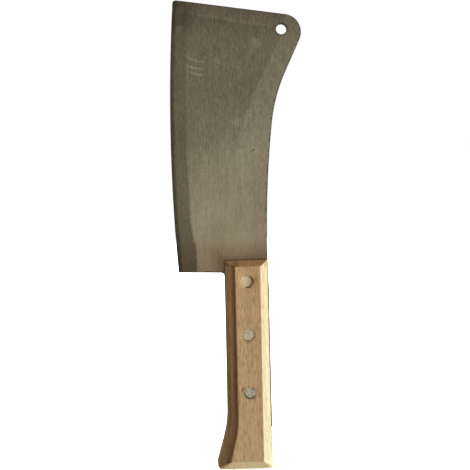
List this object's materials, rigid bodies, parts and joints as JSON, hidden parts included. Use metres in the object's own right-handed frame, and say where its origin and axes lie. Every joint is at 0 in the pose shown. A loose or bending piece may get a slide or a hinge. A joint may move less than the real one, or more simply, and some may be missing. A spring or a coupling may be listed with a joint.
{
  "type": "meat cleaver",
  "caption": "Heavy butcher's cleaver: broad curved-edge blade with a hanging hole, riveted into a chamfered beech handle with a flared foot.",
  "frame": {"origin": "centre line of the handle on the flat end of its butt, mid-way through its thickness", "axes": "+Z along the handle from the butt to the top of the blade, +X from the cutting edge to the spine, Y across the thickness"},
  "size_m": [0.1129, 0.028, 0.3968],
  "materials": {
    "blade_steel": "satin ground carbon steel, dulled and lightly worn",
    "beech_wood": "sanded bare beech",
    "rivet_metal": "dull, sanded and dented"
  },
  "bodies": {
    "root": {"blade": "blade_steel", "handle": "beech_wood", "front_rivet_tube": "rivet_metal", "front_rivet_pin": "rivet_metal", "middle_rivet_tube": "rivet_metal", "middle_rivet_pin": "rivet_metal", "rear_rivet_tube": "rivet_metal", "rear_rivet_pin": "rivet_metal"}
  },
  "joints": []
}
